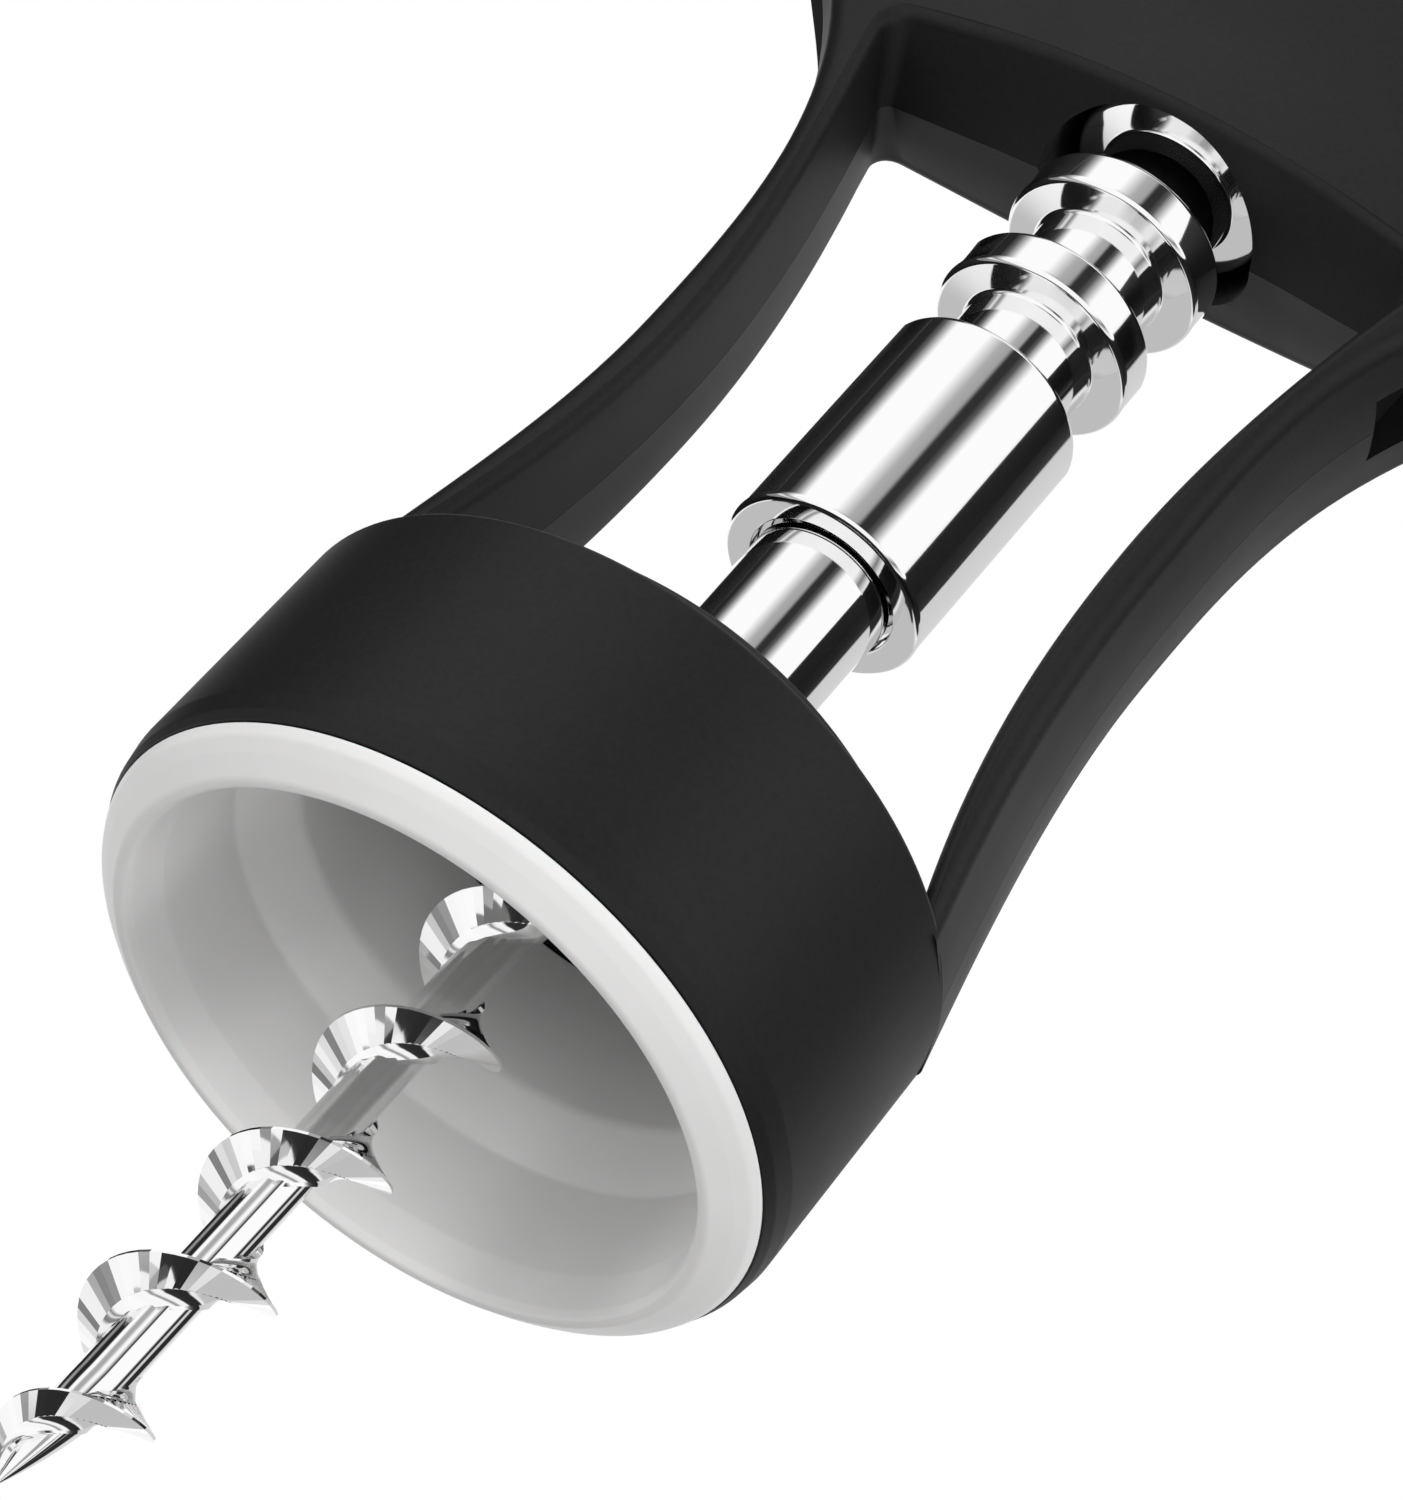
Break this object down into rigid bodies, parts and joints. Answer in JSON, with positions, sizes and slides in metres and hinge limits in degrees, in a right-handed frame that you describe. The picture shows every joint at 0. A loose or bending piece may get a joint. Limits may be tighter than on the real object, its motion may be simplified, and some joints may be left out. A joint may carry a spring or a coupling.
{
  "type": "wing corkscrew",
  "caption": "Wing corkscrew: split-shell body on a bell with a white insert, round toothed rack, geared wing levers, turning spindle with worm and bow handle with cap lifter.",
  "frame": {"origin": "on the worm's axis, in the plane of the white rim that rests on a bottle's neck", "axes": "+Z along the worm's axis from the bottle toward the handle, +X toward the right wing lever seen from the front, +Y toward the back shell"},
  "size_m": [0.1388, 0.0402, 0.1869],
  "materials": {
    "soft_black": "fine matt soft-touch black",
    "white_nylon": "satin white nylon",
    "chrome": "mirror-bright chrome plating",
    "steel": "fine satin stainless steel"
  },
  "bodies": {
    "frame": {"front_shell": "soft_black", "back_shell": "soft_black", "bell_insert": "white_nylon", "head_collar": "chrome", "lever_pin_left": "steel", "pin_cap_left": "steel", "lever_pin_right": "steel", "pin_cap_right": "steel"},
    "rack": {"rack_sleeve": "chrome"},
    "spindle": {"spindle_shaft": "chrome", "worm": "chrome", "handle_hub": "chrome", "handle_bow": "soft_black", "cap_lifter": "steel", "handle_cross_pin": "steel"},
    "lever_left": {"lever_gear_left": "chrome", "lever_grip_left": "soft_black", "grip_rivet_left": "steel"},
    "lever_right": {"lever_gear_right": "chrome", "lever_grip_right": "soft_black", "grip_rivet_right": "steel"}
  },
  "joints": [
    {"name": "rack_slide", "type": "slide", "parent": "frame", "child": "rack", "axis": [0, 0, 1], "range_m": [0, 0.0292]},
    {"name": "spindle_turn", "type": "hinge", "parent": "rack", "child": "spindle", "pos_m": [0, 0, 0.05], "axis": [0, 0, 1], "continuous": true},
    {"name": "lever_right_swing", "type": "hinge", "parent": "frame", "child": "lever_right", "pos_m": [0.01791, 0, 0.087], "axis": [0, 1, 0], "range_deg": [0, 129.2]},
    {"name": "lever_left_swing", "type": "hinge", "parent": "frame", "child": "lever_left", "pos_m": [-0.01791, 0, 0.087], "axis": [0, -1, 0], "range_deg": [0, 129.2]}
  ],
  "couplings": [
    {"joint": "lever_right_swing", "follows": "rack_slide", "rad_per_m": 77.189},
    {"joint": "lever_left_swing", "follows": "rack_slide", "rad_per_m": 77.189}
  ]
}
